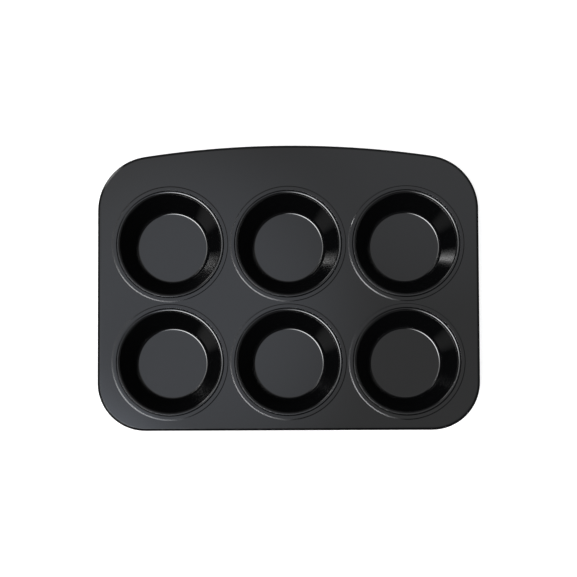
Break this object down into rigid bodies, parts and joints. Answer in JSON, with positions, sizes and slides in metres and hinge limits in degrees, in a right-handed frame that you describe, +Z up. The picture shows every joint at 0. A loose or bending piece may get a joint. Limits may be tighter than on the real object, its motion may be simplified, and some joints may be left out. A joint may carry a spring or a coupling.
{
  "type": "muffin pan",
  "caption": "Baking pan of coated sheet steel with round tapered cups seamed into raised rings of a flat deck, which has a rolled rim and an arched back edge.",
  "frame": {"origin": "below the middle of the outline's box, on the surface that the cups stand on", "axes": "+X to the right along the straight front edge, +Y to the arched back edge, +Z up, out of the cups"},
  "size_m": [0.27, 0.2022, 0.032],
  "materials": {
    "nonstick_coat": "satin black non-stick coating",
    "wire": "galvanised"
  },
  "bodies": {
    "root": {"deck": "nonstick_coat", "rim_wire": "wire", "cup_front_left": "nonstick_coat", "cup_front_centre": "nonstick_coat", "cup_front_right": "nonstick_coat", "cup_back_left": "nonstick_coat", "cup_back_centre": "nonstick_coat", "cup_back_right": "nonstick_coat"}
  },
  "joints": []
}
